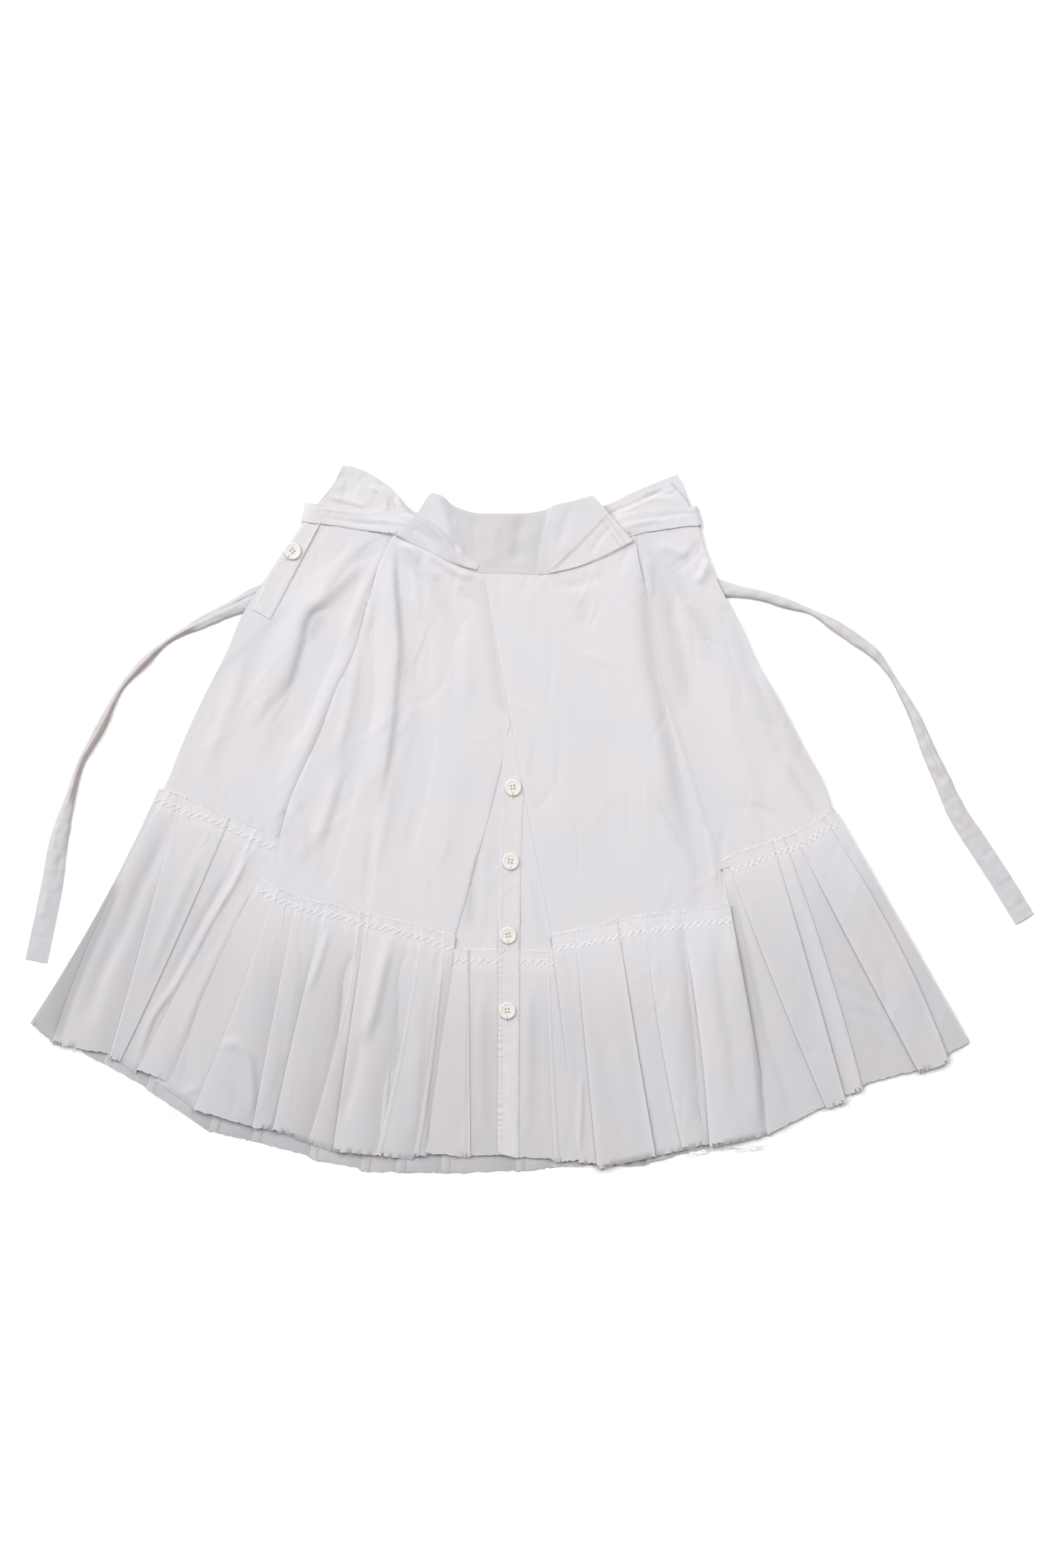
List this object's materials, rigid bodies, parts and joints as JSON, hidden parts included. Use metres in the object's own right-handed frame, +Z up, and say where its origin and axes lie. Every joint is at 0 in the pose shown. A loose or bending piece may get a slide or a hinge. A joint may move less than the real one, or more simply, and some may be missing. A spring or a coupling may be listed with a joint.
{
  "type": "skirt",
  "caption": "Flat-laid white cotton skirt with a crossing front over a buttoned centre, pleated flounces, a shaped waistband and long sewn-on ties.",
  "frame": {"origin": "centre of the bounding box at the table that the skirt lies on", "axes": "+X to the viewer's right across the skirt, tie end to tie end; +Y from the hem towards the waist; +Z up from the table, out of the front"},
  "size_m": [1.0446, 0.7335, 0.0144],
  "materials": {
    "white_cotton": "matt plain weave",
    "ivory_cotton": "matt plain weave",
    "ivory_plastic": "satin"
  },
  "bodies": {
    "root": {"back_panel": "white_cotton", "back_flounce": "white_cotton", "yoke_left": "ivory_cotton", "yoke_right": "ivory_cotton", "side_front_left": "white_cotton", "side_front_right": "white_cotton", "centre_front_left": "white_cotton", "centre_front_right": "white_cotton", "centre_placket": "ivory_cotton", "side_placket": "ivory_cotton", "side_flounce_left": "white_cotton", "side_flounce_right": "white_cotton", "centre_flounce_left": "white_cotton", "centre_flounce_right": "white_cotton", "crossing_front_left": "white_cotton", "crossing_front_right": "white_cotton", "crossing_flounce_left": "white_cotton", "crossing_flounce_right": "white_cotton", "waistband": "white_cotton", "band_corner_left": "white_cotton", "band_corner_right": "white_cotton", "tie_left": "white_cotton", "tie_right": "white_cotton", "button_1": "ivory_plastic", "button_2": "ivory_plastic", "button_3": "ivory_plastic", "button_4": "ivory_plastic", "side_button": "ivory_plastic"}
  },
  "joints": []
}
